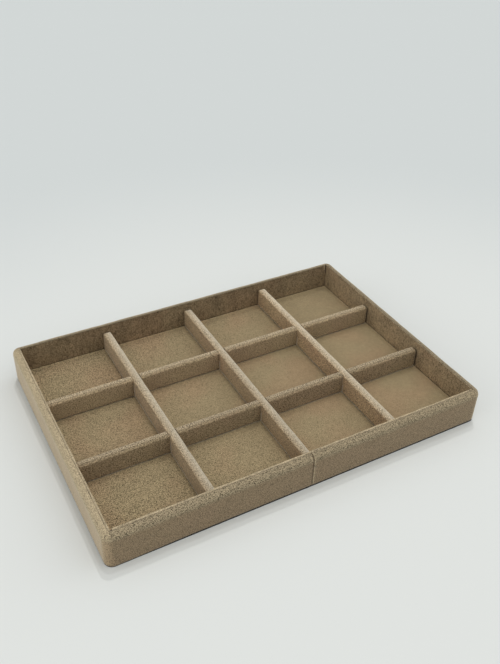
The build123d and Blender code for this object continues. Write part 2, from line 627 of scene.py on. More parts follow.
@dataclass(frozen=True)
class Suede:
    """Microfibre suede: a short dull nap in small tufts, lighter where raised and in painted
    highlights.

    Attributes:
        name: Name of the material.
        flat_colour: Usual colour where the nap lies flat.
        nap_and_highlight_colour: Usual colour along rims, folds and tops, where the nap stands up,
            and of painted highlights.
        warm_colour: Colour of the patches that were brushed the other way.
        warm_amount: How much those patches show.
        speck_size: Distance between two specks of the nap, in millimetres.
        flat_contrast: How far specks and the gaps between them differ where the nap lies flat.
        nap_and_highlight_contrast: The same where the nap stands up and where highlights are
            painted.
        mottle: How far tufts differ.
        cloud: How far patches of brushed nap differ.
        sheen: How much light the fibres catch at a grazing angle.
        lay: Which way the specks are drawn out.
        speck_gain: How much lighter the gap beside a speck is than the speck's middle.
        fibre_gain: How far single fibres differ.
        fibres: Their size.
        tufts: The tufts' size.
        clouds: Size of the patches of brushed nap.
        patches: Size of the warm patches.
        patch_span: Values of their noise between which they appear.
        patch_fade: How much raised nap and painted highlight a point may have before they are
            gone.
        painted_shade_level: What is left of the colour where the painted shade is full.
        tuft_height: How high the tufts are beside the fibres.
        nap_depth: How far the fibres stand up.
        nap_strength: How strongly they show in the light.
        roughness: How dull it is.
        gloss: How much it shines in the ordinary way.
        sheen_roughness: How broad the sheen is.
        sheen_tint: Colour of the sheen.
    """

    name: str
    flat_colour: Colour
    nap_and_highlight_colour: Colour
    warm_colour: Colour
    warm_amount: float = 0.35
    speck_size: float = 0.85
    flat_contrast: float = 0.6
    nap_and_highlight_contrast: float = 1.1
    mottle: float = 0.25
    cloud: float = 0.3
    sheen: float = 0.8
    lay: Lay = Lay.EVEN
    speck_gain: float = -1.7
    fibre_gain: float = 3.6
    fibres: Spots = Spots(0.75, 1, 0.7)
    tufts: Spots = Spots(3.0, 2)
    clouds: Spots = Spots(14, 3, 0.6)
    patches: Spots = Spots(42, 1)
    patch_span: Span = (0.4, 0.7)
    patch_fade: float = 0.15
    painted_shade_level: float = 0.3
    tuft_height: float = 0.5
    nap_depth: float = 0.35 * MM
    nap_strength: float = 0.3
    roughness: float = 0.95
    gloss: float = 0.1
    sheen_roughness: float = 0.35
    sheen_tint: Colour = (236, 226, 204)

    def material(self) -> bpy.types.Material:
        """Build the suede.

        The colour is the flat one, or the lighter one of raised nap and painted highlights,
        shifted in warm patches. It is multiplied by factors around 1: the specks and fibres, the
        tufts, the brushed clouds, and the painted light that the mesh carries. The painted shade
        that the mesh carries darkens it. The height is the fibres plus a share of the tufts.

        Returns:
            The material.
        """
        bench = SurfaceBench(self.name)
        nap_and_highlight = bench.attribute("nap_and_highlight")
        drawn = bench.stretch(self.lay.value)
        specks = bench.sway(bench.specks(self.speck_size, drawn), self.speck_gain)
        fibres = bench.noise(self.fibres, drawn)
        tufts = bench.noise(self.tufts, drawn)
        clouds = bench.noise(self.clouds, drawn)
        # Lighter colour where the nap stands up and where highlights are painted.
        colour = bench.mix("MIX", nap_and_highlight, self.flat_colour, self.nap_and_highlight_colour)
        patches = bench.spread(bench.noise(self.patches), self.patch_span, (0, self.warm_amount))
        outside_nap_and_highlight = bench.spread(nap_and_highlight, (0, self.patch_fade), (1, 0))
        patches = bench.combine("MULTIPLY", patches, outside_nap_and_highlight)
        colour = bench.mix("MIX", patches, colour, self.warm_colour)
        contrast = bench.spread(nap_and_highlight, (0, 1), (self.flat_contrast, self.nap_and_highlight_contrast))
        calm = bench.combine("SUBTRACT", bench.attribute("calm"), 1.0)
        lively = bench.combine("MULTIPLY", calm, -1.0)
        contrast = bench.combine("MULTIPLY", contrast, lively)
        grain = bench.combine("ADD", specks, bench.sway(fibres, self.fibre_gain))
        grain = bench.combine("MULTIPLY", grain, contrast)
        factor = bench.combine("ADD", grain, 1.0)
        factor = bench.combine("ADD", factor, bench.sway(tufts, self.mottle))
        factor = bench.combine("ADD", factor, bench.sway(clouds, self.cloud))
        # Painted light that the mesh carries.
        painted_light = bench.combine("ADD", bench.attribute("painted_light"), 1.0)
        factor = bench.combine("MULTIPLY", factor, painted_light)
        # Painted shade that the mesh carries.
        painted_shade = bench.spread(bench.attribute("painted_shade"), (0, 1), (1, self.painted_shade_level))
        factor = bench.combine("MULTIPLY", factor, painted_shade)
        lower = bench.combine("MULTIPLY", tufts, self.tuft_height)
        bench.bump(bench.combine("ADD", fibres, lower), self.nap_depth, self.nap_strength)
        bench.set(
            {
                "Base Color": bench.mix("MULTIPLY", 1.0, colour, factor),
                "Roughness": self.roughness,
                "Specular IOR Level": self.gloss,
                "Sheen Weight": self.sheen,
                "Sheen Roughness": self.sheen_roughness,
                "Sheen Tint": linear(self.sheen_tint),
            }
        )
        return bench.material


@dataclass(frozen=True)
class Board:
    """Fibreboard or card: a plain pressed sheet with specks of fibre.

    Attributes:
        name: Name of the material.
        colour: Its usual colour.
        speck_colour: Colour of the fibres that show.
        fibres: Their size.
        roughness: How dull it is.
        stretch: How the fibres are drawn out, as a factor for each direction.
        speck_span: Values of their noise between which they appear.
        speck_amount: How far they show.
        clouds: Size of its darker clouds.
        cloud_span: Values of their noise between which they appear.
        cloud_amount: How far they show.
        cloud_shade: What is left of the colour in a cloud that shows in full.
        rough_span: Values of the fibres' noise between which the dullness changes.
        rough_swing: How far it changes each way.
        depth: How far the fibres stand up.
        strength: How strongly they show in the light.
    """

    name: str
    colour: Colour
    speck_colour: Colour
    fibres: Spots
    roughness: float = 0.8
    stretch: tuple[float, float, float] = (0.4, 1.0, 1.0)
    speck_span: Span = (0.48, 0.72)
    speck_amount: float = 0.7
    clouds: Spots = Spots(30, 2)
    cloud_span: Span = (0.3, 0.7)
    cloud_amount: float = 0.25
    cloud_shade: float = 0.85
    rough_span: Span = (0.2, 0.8)
    rough_swing: float = 0.1
    depth: float = 0.08 * MM
    strength: float = 0.4

    def material(self) -> bpy.types.Material:
        """Build the board: its colour, clouded and specked, with a fine grain.

        Returns:
            The material.
        """
        bench = SurfaceBench(self.name)
        specks = bench.noise(self.fibres, bench.stretch(self.stretch))
        share = bench.spread(specks, self.speck_span, (0, self.speck_amount))
        cloud = bench.spread(bench.noise(self.clouds), self.cloud_span, (0, self.cloud_amount))
        dark = tuple(self.cloud_shade * part for part in self.colour)
        base = bench.mix("MIX", cloud, self.colour, dark)
        swing = (self.roughness - self.rough_swing, self.roughness + self.rough_swing)
        bench.bump(specks, self.depth, self.strength)
        bench.set(
            {
                "Base Color": bench.mix("MIX", share, base, self.speck_colour),
                "Roughness": bench.spread(specks, self.rough_span, swing),
            }
        )
        return bench.material


# The lighter colours below serve raised nap and painted highlights, the lining's only painted
# ones.
OUTER_SUEDE = Suede(
    "outer suede",
    flat_colour=(133, 116, 92),
    nap_and_highlight_colour=(140, 127, 103),
    warm_colour=(136, 114, 93),
    warm_amount=0.15,
    speck_size=0.75,
    flat_contrast=0.6,
    nap_and_highlight_contrast=0.8,
    mottle=0.1,
    cloud=0.12,
    sheen=1.0,
)
LINING_SUEDE = Suede(
    "lining suede",
    flat_colour=(144, 126, 98),
    nap_and_highlight_colour=(188, 172, 142),
    warm_colour=(142, 116, 90),
    flat_contrast=0.48,
    nap_and_highlight_contrast=0.4,
    mottle=0.75,
    cloud=0.75,
    lay=Lay.UPRIGHT,
)
FLOOR_SUEDE = Suede(
    "floor suede",
    flat_colour=(152, 136, 105),
    nap_and_highlight_colour=(160, 144, 114),
    warm_colour=(161, 132, 103),
    warm_amount=0.4,
    flat_contrast=0.85,
    mottle=0.3,
    cloud=0.2,
)
CROSS_SUEDE = Suede(
    "cross divider suede",
    flat_colour=(157, 135, 104),
    nap_and_highlight_colour=(189, 179, 158),
    warm_colour=(154, 123, 97),
    warm_amount=0.3,
    speck_size=0.75,
    flat_contrast=0.8,
    nap_and_highlight_contrast=0.3,
    mottle=0.2,
    cloud=0.25,
    lay=Lay.ALONG_WIDTH,
)
LONG_SUEDE = Suede(
    "long divider suede",
    flat_colour=(147, 130, 102),
    nap_and_highlight_colour=(163, 147, 121),
    warm_colour=(142, 120, 98),
    speck_size=0.7,
    flat_contrast=0.75,
    nap_and_highlight_contrast=1.1,
    mottle=0.2,
    cloud=0.25,
    lay=Lay.ALONG_LENGTH,
)
FIBREBOARD = Board("fibreboard", (160, 128, 92), (112, 84, 56), Spots(0.9, 4, 0.7))
BROWN_CARD = Board("brown card", (82, 68, 52), (60, 50, 39), Spots(0.6, 4, 0.7), 0.85)
# The backing card's dark colour is partly painted shade, for the gap under the tray's foot.
BACKING_CARD = Board("backing card", (34, 29, 24), (24, 21, 18), Spots(0.5, 4, 0.7), 0.8)


def dress(piece: bpy.types.Object, material: bpy.types.Material) -> None:
    """Give a piece one material on all its faces."""
    piece.data.materials.clear()
    piece.data.materials.append(material)


class Body(Enum):
    """The two bodies that pieces ride on."""

    TRAY = "tray"
    DIVIDER_GRID = "divider_grid"


class Held(Enum):
    """How a cloth is held by what it covers."""

    STRETCHED = "stretched"
    FOLDED = "folded"


@dataclass(frozen=True)
class Cloth:
    """What goes with a cloth, apart from its shape.

    Attributes:
        node: CAD node that it replaces.
        board: CAD node that it is glued over; not used.
        body: Body that it rides on.
        slot: Material slot of its finish; not used.
        held: How it is held; not used.
    """

    node: str
    board: str
    body: Body
    slot: str
    held: Held

    def cover(self, skin: Skin, material: bpy.types.Material, cut: Span) -> bpy.types.Object:
        """Args:
            skin: Its seen side.
            material: Its suede.
            cut: Size that it was cut to; not used.

        Returns:
            The piece.
        """
        piece = skin.build()
        solid = piece.modifiers.new("cloth thickness", "SOLIDIFY")
        solid.thickness = CLOTH_THICKNESS
        solid.offset = -1
        solid.use_even_offset = False
        dress(piece, material)
        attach(piece, self.body.value)
        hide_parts(self.node)
        return piece


@dataclass(frozen=True)
class OuterCover:
    """The cloth strip round the tray, from its turn-in underneath to its turn-down inside.

    Attributes:
        cloth: What goes with it, apart from its shape.
        suede: Its finish.
        corner_radius: Radius of the upright corners.
        turn_in: How far the cloth reaches in under the base.
        turn_down: How far it reaches down inside the rim.
        foot_radius: Radius of the bend at the bottom of the face.
        rim_depth: How far below the top the rim starts to round over.
        rim_width: How far in the crown of the rim lies.
        wall: Distance from the outside to the inner face of the turned-down cloth.
        shoulder_drop: How far the rim falls from its crown to the groove beside the lining.
        shoulder_radius: Radius of the bend into that groove.
        groove_width: How wide the painted shade in the groove is.
        step: Usual distance between two stations.
        seam_gap: Gap between the strip's ends in the middle of the front.
        seam_places: Stations on each side of the gap, in millimetres.
        seam_raise: How far the right end stands up beside the gap.
        seam_dip: How far the left end is pressed in there, as a share of seam_raise.
        seam_reach: How far from the gap the ends are raised or pressed in.
        seam_shine: How far the painted highlight and shade reach beside the gap, as a share of
            seam_reach.
        seam_highlight: Painted highlight: how much lighter the right end looks.
        foot_drop: How far the foot bulges down over the backing sheet's edge.
        left_drop: How much further it does on the far left.
        left_span: How far to the left that starts, and where it is full.
        foot_height: How far up the face the bulge is felt.
        foot_insets: How far in under the tray the bulge starts, and where it is full.
        unevenness: Usual height of the cloth's slow waves.
        slow_size: Usual distance between two of them.
        quick_share: Height of the smaller waves, as a share of the slow ones.
        quick_size: Usual distance between two of them.
        wave_rise: How far up the face the waves have their full height.
        seed: Picks the slow waves, and one more picks the smaller ones.
        nap_span: How far below the top the nap starts to stand up, and where it does in full.
        painted_lights: Painted light: how much lighter the left, right and back look than the
            front.
        rim_highlight: Painted highlight: how much lighter the front's rim looks halfway round.
        calm: How calm the grain is away from the front.
        rim_calm: How much less calm it is on the rim.
    """

    cloth: Cloth = Cloth("outer_cover", "front_rail", Body.TRAY, "outer_suede", Held.STRETCHED)
    suede: Suede = OUTER_SUEDE
    corner_radius: float = 7.0 * MM
    turn_in: float = 14.0 * MM
    turn_down: float = 9.0 * MM
    foot_radius: float = 0.8 * MM
    rim_depth: float = 5.4 * MM
    rim_width: float = 4.4 * MM
    wall: float = 5.7 * MM
    shoulder_drop: float = 0.1 * MM
    shoulder_radius: float = 0.3 * MM
    groove_width: float = 0.2 * MM
    step: float = 2.2 * MM
    seam_gap: float = 0.5 * MM
    seam_places: tuple[float, ...] = (0.4, 0.8, 1.2, 1.8, 2.6)
    seam_raise: float = 0.45 * MM
    seam_dip: float = 0.3
    seam_reach: float = 1.6 * MM
    seam_shine: float = 0.6
    seam_highlight: float = 0.6
    foot_drop: float = 0.6 * MM
    left_drop: float = 0.9 * MM
    left_span: Span = (100 * MM, 170 * MM)
    foot_height: float = 4 * MM
    foot_insets: Span = (4 * MM, 1 * MM)
    unevenness: float = 0.12 * MM
    slow_size: float = 34 * MM
    quick_share: float = 0.45
    quick_size: float = 8 * MM
    wave_rise: float = 3 * MM
    seed: int = 11
    nap_span: Span = (7 * MM, 4 * MM)
    painted_lights: tuple[float, float, float] = (0.58, -0.08, -0.22)
    rim_highlight: float = 0.12
    calm: float = 0.5
    rim_calm: float = 0.15

    def section(self, bottom: float, top: float) -> Section:
        """Draw the strip's section from its edge under the base to its edge inside the rim.

        Args:
            bottom: Height of its underside.
            top: Height of the rim.

        Returns:
            The section.
        """
        foot = self.foot_radius
        rim_start = top - self.rim_depth
        shoulder = (self.wall - self.shoulder_radius, top - self.shoulder_drop)
        groove = (shoulder[0], shoulder[1] - self.shoulder_radius)
        return join_section(
            straight((self.turn_in, bottom), (foot, bottom), steps=5),
            bend((foot, bottom + foot), (foot, foot), (-90, 0), steps=5),
            straight((0, bottom + foot), (0, rim_start), steps=12),
            bend((self.rim_width, rim_start), (self.rim_width, self.rim_depth), (0, 90), steps=14),
            straight((self.rim_width, top), shoulder, steps=2),
            bend(groove, (-self.shoulder_radius, self.shoulder_radius), (90, 0), steps=3),
            straight((self.wall, groove[1]), (self.wall, top - self.turn_down), steps=3),
            end=(self.wall, top - self.turn_down),
        )

    def build(self) -> bpy.types.Object:
        """The section is carried round the outline. Its points are pushed out by the waves and by
        a bell curve over the distance from the seam, and the foot is lowered.

        Returns:
            The piece.
        """
        low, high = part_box(self.cloth.node)
        reaches = np.array(self.seam_places) * MM
        ends = [-self.seam_gap / 2, self.seam_gap / 2]
        places = tuple(np.concatenate([-reaches, ends, reaches]))
        outline = Outline(high[0], high[1], self.corner_radius, self.step, extra=places)
        section = self.section(low[2], high[2])
        place, heading = outline.stations()
        level = outline.skin(section)
        walk = np.linalg.norm(np.diff(level[:, len(section.height) // 2], axis=0), axis=1)
        run = np.concatenate([[0], np.cumsum(walk)])[:, None]
        travel = section.travel()[None, :]
        visible = smooth_step(section.height, low[2], low[2] + self.wave_rise)
        slow = soft_waves(run, travel, self.slow_size, self.seed)
        quick = soft_waves(run, travel, self.quick_size, self.seed + 1)
        lift = self.unevenness * (slow + self.quick_share * quick) * visible
        from_seam = np.where(place[:, 1] < 0, np.abs(level[:, 0, 0]), np.inf)[:, None]
        bump = np.exp(-((from_seam / self.seam_reach) ** 2)) * visible
        on_right = (place[:, 0] > 0)[:, None]
        dip = -self.seam_dip * self.seam_raise
        lift = lift + bump * np.where(on_right, self.seam_raise, dip)
        points = outline.skin(section, lift)
        on_left = smooth_step(-level[..., 0], *self.left_span)
        near_foot = smooth_step(section.height, low[2] + self.foot_height, low[2])
        near_edge = smooth_step(section.inset, *self.foot_insets)
        points[..., 2] -= (self.foot_drop + self.left_drop * on_left) * near_foot * near_edge
        skin = Skin("outer_cover_cloth", points)
        skin.flat = np.dstack(np.broadcast_arrays(run, travel))
        start, full = self.nap_span
        rising = smooth_step(level[..., 2], high[2] - start, high[2] - full)
        reach = self.seam_shine * self.seam_reach
        near_seam = np.exp(-((from_seam / reach) ** 2)) * visible
        # The rim's band gets the lighter colour of raised nap; the right end beside the seam a
        # painted highlight.
        skin.nap_and_highlight = np.maximum(rising, near_seam * on_right)
        # Painted shade beside the seam's left end and in the groove inside the rim.
        in_groove = rising * (section.inset > self.wall - self.groove_width)
        skin.painted_shade = np.maximum(near_seam * ~on_right, in_groove)
        # Painted light: lighter left side, darker right and back, painted highlights on the
        # front's rim and seam.
        left, right, back = self.painted_lights
        painted_light = left * np.maximum(-heading[:, 0], 0) + right * np.maximum(heading[:, 0], 0)
        painted_light = (painted_light + back * np.maximum(heading[:, 1], 0))[:, None]
        outward, upward = section.facing()
        halfway = np.clip(2 * outward * upward, 0, 1) ** 2 * (section.inset < self.rim_width)
        painted_light = (1 + painted_light) * (1 + self.rim_highlight * halfway * np.maximum(-heading[:, 1:], 0)) - 1
        skin.painted_light = np.maximum(painted_light, self.seam_highlight * near_seam * on_right)
        off_front = np.clip(1 + heading[:, 1:], 0, 1)
        skin.calm = off_front * (self.calm - self.rim_calm * rising)
        cut = (float(run[-1, 0]), float(travel[0, -1]))
        return self.cloth.cover(skin, self.suede.material(), cut)


FLOOR_NODE = "floor_cover"
CROSS_NODES = tuple(f"cross_divider_cover_{number}" for number in (1, 2, 3))
LONG_NODES = tuple(f"long_divider_cover_{number}" for number in (1, 2))


def foot_spans(nodes: tuple[str, ...], axis: int) -> list[Span]:
    """Give the first and last place of each divider's foot along one axis."""
    boxes = [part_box(node) for node in nodes]
    return [(low[axis], high[axis]) for low, high in boxes]


def beside(places: np.ndarray, spans: list[Span], reach: float) -> np.ndarray:
    """Work out how near each place is to a foot or a wall.

    The share is 1 under it, and beside it a bell curve over the distance.

    Args:
        places: The places, along one axis.
        spans: First and last place of each foot or wall.
        reach: Distance at which little is left.

    Returns:
        The share at each place.
    """
    share = np.zeros_like(places)
    for first, last in spans:
        outside = np.maximum(np.maximum(first - places, places - last), 0)
        share = np.maximum(share, np.exp(-((outside / reach) ** 2)))
    return share


class Side(Enum):
    """A wall of the tray, as the direction from the middle towards it."""

    FRONT = (0.0, -1.0)
    BACK = (0.0, 1.0)
    LEFT = (-1.0, 0.0)
    RIGHT = (1.0, 0.0)


@dataclass(frozen=True)
class PaintedLighting:
    """Painted light and shade on one lining panel.

    Attributes:
        lip_light: Painted highlight along the fold, from 0 to 1.
        painted_foot_light: Painted light: how much lighter than usual it looks at the foot.
        painted_top_light: Painted light: how much lighter than usual it looks at the top.
    """

    lip_light: float
    painted_foot_light: float
    painted_top_light: float


# Painted light and shade on each wall's lining.
PAINTED_LIGHTINGS = {
    Side.FRONT: PaintedLighting(0.85, 0.0, 0.0),
    Side.BACK: PaintedLighting(0.0, -0.12, -0.22),
    Side.LEFT: PaintedLighting(0.8, 0.0, 0.0),
    Side.RIGHT: PaintedLighting(0.1, 0.2, 0.05),
}


@dataclass(frozen=True)
class LiningPanel:
    """The cloth on one inner wall, folded over the top of its card.

    Attributes:
        side: The wall that it lines.
        painted_lighting: Its painted light and shade.
        thickness: Card and cloth together.
        lip_raise: How far the folded lip stands above the rim.
        tuck: How far the cloth reaches down behind the card.
        half_step: Half the usual distance between two stations.
        end_radius: Radius of the fold at a panel's end.
        end_shares: Stations on that fold, as shares of its radius.
        gape: How far the last end of a front or back panel stands off at the top.
        gape_depth: How far down that gap reaches.
        unevenness: Usual height of the cloth's slow waves.
        slow_size: Usual distance between two of them.
        lip_unevenness: Usual height of the lip's own waves.
        lip_size: Usual distance between two of them.
        lip_depth: How far below the rim they start.
        seed: Picks the waves of the first panel, and one more those of each following one.
        lip_seed: What is added to a panel's seed to pick the waves of its lip.
        lip_span: How far below the rim the light lip starts, and where it is full.
        lip_shade: How much darker a lip with no light looks.
        end_light: Painted highlight along the gap.
        end_span: How far from the end that starts, and where it is full.
        foot_height: How far up from the floor the painted shade reaches.
        foot_shade: How dark it is there.
        corner_reach: How far from its ends a side panel has painted shade in the corner's gap.
        corner_share: Share of that distance at which it is fully dark.
        corner_depth: How far below the rim it is fully dark.
        corner_shade: How dark it is there.
        grid_reach: How far beside a long divider's end a side panel has painted shade.
        grid_span: How far below the divider's top that starts, and where it is full.
        grid_shade: How dark it is there.
    """

    side: Side
    painted_lighting: PaintedLighting
    thickness: float = 1.6 * MM
    lip_raise: float = 0.25 * MM
    tuck: float = 5.0 * MM
    half_step: float = 0.9 * MM
    end_radius: float = 0.7 * MM
    end_shares: tuple[float, ...] = (0, 0.1, 0.3, 0.6)
    gape: float = 1.4 * MM
    gape_depth: float = 18.0 * MM
    unevenness: float = 0.1 * MM
    slow_size: float = 26 * MM
    lip_unevenness: float = 0.14 * MM
    lip_size: float = 11 * MM
    lip_depth: float = 4 * MM
    seed: int = 20
    lip_seed: int = 10
    lip_span: Span = (0.9 * MM, 0.1 * MM)
    lip_shade: float = 0.3
    end_light: float = 0.8
    end_span: Span = (2.0 * MM, 0.8 * MM)
    foot_height: float = 0.8 * MM
    foot_shade: float = 0.8
    corner_reach: float = 2.1 * MM
    corner_share: float = 0.6
    corner_depth: float = 3 * MM
    corner_shade: float = 0.9
    grid_reach: float = 0.3 * MM
    grid_span: Span = (1.5 * MM, 3 * MM)
    grid_shade: float = 0.6

    def section(self, bottom: float, top: float) -> Section:
        """Draw the section from the foot of the inner face, over the lip and down behind.

        Args:
            bottom: Height of its foot.
            top: Height of the rim.

        Returns:
            The section.
        """
        radius = self.thickness / 2
        crown = top + self.lip_raise - radius
        return join_section(
            straight((0, bottom), (0, crown), steps=16),
            bend((radius, crown), (radius, radius), (0, 180), steps=10),
            straight((self.thickness, crown), (self.thickness, crown - self.tuck), steps=3),
            end=(self.thickness, crown - self.tuck),
        )

    def build(self, material: bpy.types.Material) -> bpy.types.Object:
        """A point is the panel's face plane plus the inset, plus the place along the wall. The
        inset is lessened by the waves and grows by a quarter circle at each end.

        Args:
            material: The lining's suede.

        Returns:
            The piece.
        """
        name = self.side.name.lower()
        node, card = f"{name}_lining_cover", f"{name}_lining_card"
        cloth = Cloth(node, card, Body.TRAY, "lining_suede", Held.FOLDED)
        low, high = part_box(node)
        towards = np.array([*self.side.value, 0.0])
        along = np.cross([0.0, 0.0, 1.0], -towards)
        middle = (np.array(low) + np.array(high)) / 2
        half = abs(along @ (np.array(high) - np.array(low))) / 2
        face = towards @ middle - self.thickness / 2
        section = self.section(low[2], high[2])
        stations = np.linspace(-half, half, int(round(half / self.half_step)))
        rims = half - self.end_radius * np.array(self.end_shares)
        stations = np.unique(np.concatenate([stations, rims, -rims]))[:, None]
        travel = section.travel()[None, :]
        seed = self.seed + list(Side).index(self.side)
        outward, upward = section.facing()
        near_lip = smooth_step(section.height, high[2] - self.lip_depth, high[2])
        lip_waves = soft_waves(stations, 0 * travel, self.lip_size, seed + self.lip_seed)
        lift = self.unevenness * soft_waves(stations, travel, self.slow_size, seed)
        lift = lift + self.lip_unevenness * near_lip * lip_waves
        to_end = np.clip((half - np.abs(stations)) / self.end_radius, 0, 1)
        end_fall = self.end_radius * (1 - np.sqrt(1 - (1 - to_end) ** 2))
        inset = section.inset - lift * outward + end_fall * (section.inset < self.thickness / 2)
        height = section.height + lift * upward
        opening = smooth_step(section.height, high[2] - self.gape_depth, high[2])
        crosswise = self.side in (Side.FRONT, Side.BACK)
        last = crosswise * np.clip(stations / half, 0, 1)
        place = np.broadcast_to(stations - self.gape * opening * last, height.shape)
        points = (
            (face + inset)[..., None] * towards
            + place[..., None] * along
            + height[..., None] * np.array([0.0, 0.0, 1.0])
        )
        skin = Skin(f"{name}_lining_cloth", points)
        skin.flat = np.dstack(np.broadcast_arrays(stations, travel))
        # Painted highlight along the lip and along the gap at a front or back panel's last end.
        start, full = self.lip_span
        lip = smooth_step(section.height, high[2] - start, high[2] - full)
        start, full = self.end_span
        at_end = crosswise * smooth_step(stations, half - start, half - full)
        end_light = self.end_light * at_end * opening
        skin.nap_and_highlight = np.maximum(lip * self.painted_lighting.lip_light, end_light)
        # Painted light and shade by side, and painted shade on a lip with no painted highlight.
        rise = smooth_step(section.height, low[2], high[2])
        painted_light = self.painted_lighting.painted_foot_light * (1 - rise) + self.painted_lighting.painted_top_light * rise
        skin.painted_light = painted_light - self.lip_shade * (1 - self.painted_lighting.lip_light) * lip
        # Painted shade at the foot, in the corner's gap and beside the long dividers' ends.
        floor_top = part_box(FLOOR_NODE)[1][2]
        foot = smooth_step(height, floor_top + self.foot_height, floor_top)
        shade = self.foot_shade * foot
        if not crosswise:
            fully = half - self.corner_share * self.corner_reach
            gap = smooth_step(np.abs(stations), half - self.corner_reach, fully)
            below = smooth_step(height, high[2], high[2] - self.corner_depth)
            shade = np.maximum(shade, self.corner_shade * gap * below)
            grid_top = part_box(LONG_NODES[0])[1][2]
            start, full = self.grid_span
            ends = beside(stations * along[1], foot_spans(LONG_NODES, 1), self.grid_reach)
            below = smooth_step(height, grid_top - start, grid_top - full)
            shade = np.maximum(shade, self.grid_shade * ends * below)
        skin.painted_shade = shade * (section.inset < self.thickness / 2)
        return cloth.cover(skin, material, (2 * half, float(travel[0, -1])))


@dataclass(frozen=True)
class FloorPad:
    """The cloth over the floor card, pressed down a little along the dividers' feet.

    Attributes:
        cloth: What goes with it, apart from its shape.
        suede: Its finish.
        step: Usual distance between two grid lines.
        edge_radius: Radius of the bend at its edges.
        edge_shares: Grid lines on that bend, as shares of its radius.
        edge_shade: How dark the painted shade at the edges is.
        press_depth: How deep a divider's foot presses.
        press_reach: How far beside the foot the cloth is pressed.
        press_places: Grid lines beside each foot, in millimetres.
        unevenness: Usual height of the cloth's slow waves.
        slow_size: Usual distance between two of them.
        quick_share: Height of the smaller waves, as a share of the slow ones.
        quick_size: Usual distance between two of them.
        seed: Picks the slow waves, and one more picks the smaller ones.
        painted_light_reach: How far beside the feet and walls the floor is painted lighter against
            their shade.
        painted_foot_light: Painted light: how much lighter it is beside the feet.
        painted_wall_light: Painted light: how much lighter it is along the walls.
        painted_right_light: Painted light: how much lighter the right edge looks than the middle.
        painted_back_light: Painted light: how much lighter the back edge looks than the middle.
        calm: How calm the grain usually is.
        right_calm: How much calmer it is at the right edge.
        middle_calm: How much calmer it is along the middle line from left to right.
        middle_fall: How fast that is lost towards the front and back.
    """

    cloth: Cloth = Cloth(FLOOR_NODE, "floor_card", Body.TRAY, "floor_suede", Held.STRETCHED)
    suede: Suede = FLOOR_SUEDE
    step: float = 2.6 * MM
    edge_radius: float = 0.5 * MM
    edge_shares: tuple[float, ...] = (0, 0.08, 0.25, 0.5, 0.8, 1.2)
    edge_shade: float = 0.25
    press_depth: float = 0.15 * MM
    press_reach: float = 0.8 * MM
    press_places: tuple[float, ...] = (0, 0.3, 0.7, 1.2, 1.9, 2.8, 4.0)
    unevenness: float = 0.05 * MM
    slow_size: float = 30 * MM
    quick_share: float = 0.5
    quick_size: float = 9 * MM
    seed: int = 41
    painted_light_reach: float = 3.5 * MM
    painted_foot_light: float = 0.22
    painted_wall_light: float = 0.42
    painted_right_light: float = 0.03
    painted_back_light: float = -0.03
    calm: float = 0.42
    right_calm: float = 0.42
    middle_calm: float = 0.22
    middle_fall: float = 1.5

    def lines(self, low: float, high: float, spans: list[Span]) -> np.ndarray:
        """Place grid lines across the floor, close together where it bends.

        Args:
            low: Lowest place.
            high: Highest place.
            spans: First and last place of each divider's foot.

        Returns:
            The places, in order.
        """
        even = np.arange(low, high, self.step)
        edges = self.edge_radius * np.array(self.edge_shares)
        by_foot = MM * np.array(self.press_places)
        close = [low + edges, high - edges]
        for first, last in spans:
            close += [first - by_foot, last + by_foot]
        return np.unique(np.concatenate([even, *close]).round(7))

    def build(self) -> bpy.types.Object:
        """The height is the cloth's top, with its waves, lowered under the dividers' feet and
        bent down by a quarter circle along the edges. A skirt round it reaches down to the base.

        Returns:
            The piece.
        """
        low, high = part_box(self.cloth.node)
        cross_feet = foot_spans(CROSS_NODES, 0)
        long_feet = foot_spans(LONG_NODES, 1)
        x = self.lines(low[0], high[0], cross_feet)
        y = self.lines(low[1], high[1], long_feet)
        press_x = beside(x, cross_feet, self.press_reach)
        press_y = beside(y, long_feet, self.press_reach)
        press = np.maximum(press_x[:, None], press_y[None, :])
        edge = np.minimum(
            np.minimum(x - low[0], high[0] - x)[:, None],
            np.minimum(y - low[1], high[1] - y)[None, :],
        )
        short = np.clip(1 - edge / self.edge_radius, 0, 1)
        fall = self.edge_radius * (1 - np.sqrt(1 - short**2))
        slow = soft_waves(x[:, None], y[None, :], self.slow_size, self.seed)
        quick = soft_waves(x[:, None], y[None, :], self.quick_size, self.seed + 1)
        waves = slow + self.quick_share * quick
        height = high[2] + self.unevenness * waves * (1 - press)
        height = height - self.press_depth * press - fall
        points = np.dstack([*np.broadcast_arrays(x[:, None], y[None, :]), height])
        skirted = np.pad(points, ((1, 1), (1, 1), (0, 0)), mode="edge")
        rim = np.ones(skirted.shape[:2], dtype=bool)
        rim[1:-1, 1:-1] = False
        skirted[rim, 2] = low[2] + CLOTH_THICKNESS
        skin = Skin("floor_cloth", skirted)
        skin.flat = skirted[..., :2]
        # Painted shade along the edges, where the pad bends down beside the walls.
        skin.painted_shade = np.pad(self.edge_shade * short, 1, mode="edge")
        # Only a wall's near face counts, so each wall is taken as a millimetre thick.
        walls_x = [(low[0] - MM, low[0]), (high[0], high[0] + MM)]
        walls_y = [(low[1] - MM, low[1]), (high[1], high[1] + MM)]
        feet_x = beside(skirted[..., 0], cross_feet, self.painted_light_reach)
        feet_y = beside(skirted[..., 1], long_feet, self.painted_light_reach)
        by_walls_x = beside(skirted[..., 0], walls_x, self.painted_light_reach)
        by_walls_y = beside(skirted[..., 1], walls_y, self.painted_light_reach)
        rightwards = skirted[..., 0] / high[0]
        backwards = skirted[..., 1] / high[1]
        along_middle = self.middle_calm * (1 - self.middle_fall * backwards**2)
        skin.calm = self.calm + self.right_calm * rightwards + along_middle
